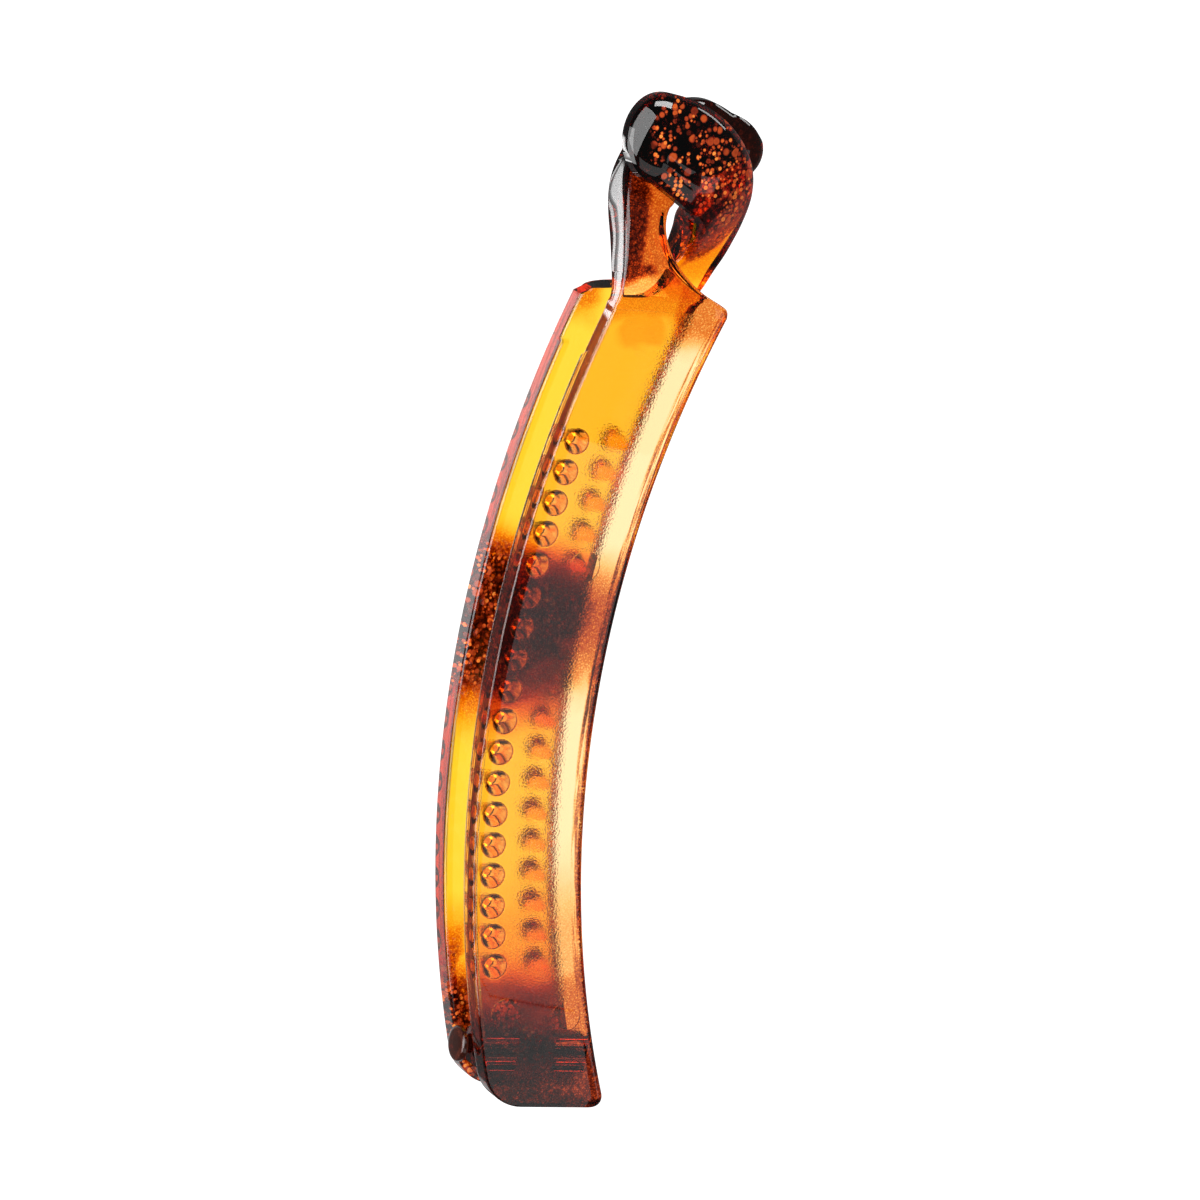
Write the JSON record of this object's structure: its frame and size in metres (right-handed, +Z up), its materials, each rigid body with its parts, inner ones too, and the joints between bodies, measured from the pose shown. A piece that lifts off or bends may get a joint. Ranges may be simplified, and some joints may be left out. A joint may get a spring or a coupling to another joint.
{
  "type": "banana hair clip",
  "caption": "Long curved hair clip of tortoiseshell plastic: toothed arms on a riveted hinge at one end, latched by interlocking hook fingers at the other.",
  "frame": {"origin": "on the lower arm's flat outer face, on the middle line of its plate, halfway along the arc", "axes": "+Z up through both arms, +Y from the hinge to the hook fingers, -X towards the convex back"},
  "size_m": [0.0312, 0.1339, 0.0124],
  "materials": {
    "lower_amber": "polished, see-through tortoiseshell",
    "upper_amber": "polished, see-through tortoiseshell",
    "pin_dark": "polished, dark tortoiseshell"
  },
  "bodies": {
    "lower_half": {"lower_arm": "lower_amber", "hinge_pin": "pin_dark"},
    "upper_half": {"upper_arm": "upper_amber"}
  },
  "joints": [
    {"name": "clip_hinge", "type": "hinge", "parent": "lower_half", "child": "upper_half", "pos_m": [0, -0.048, 0.0062], "axis": [1, 0, 0], "range_deg": [0, 45]}
  ]
}
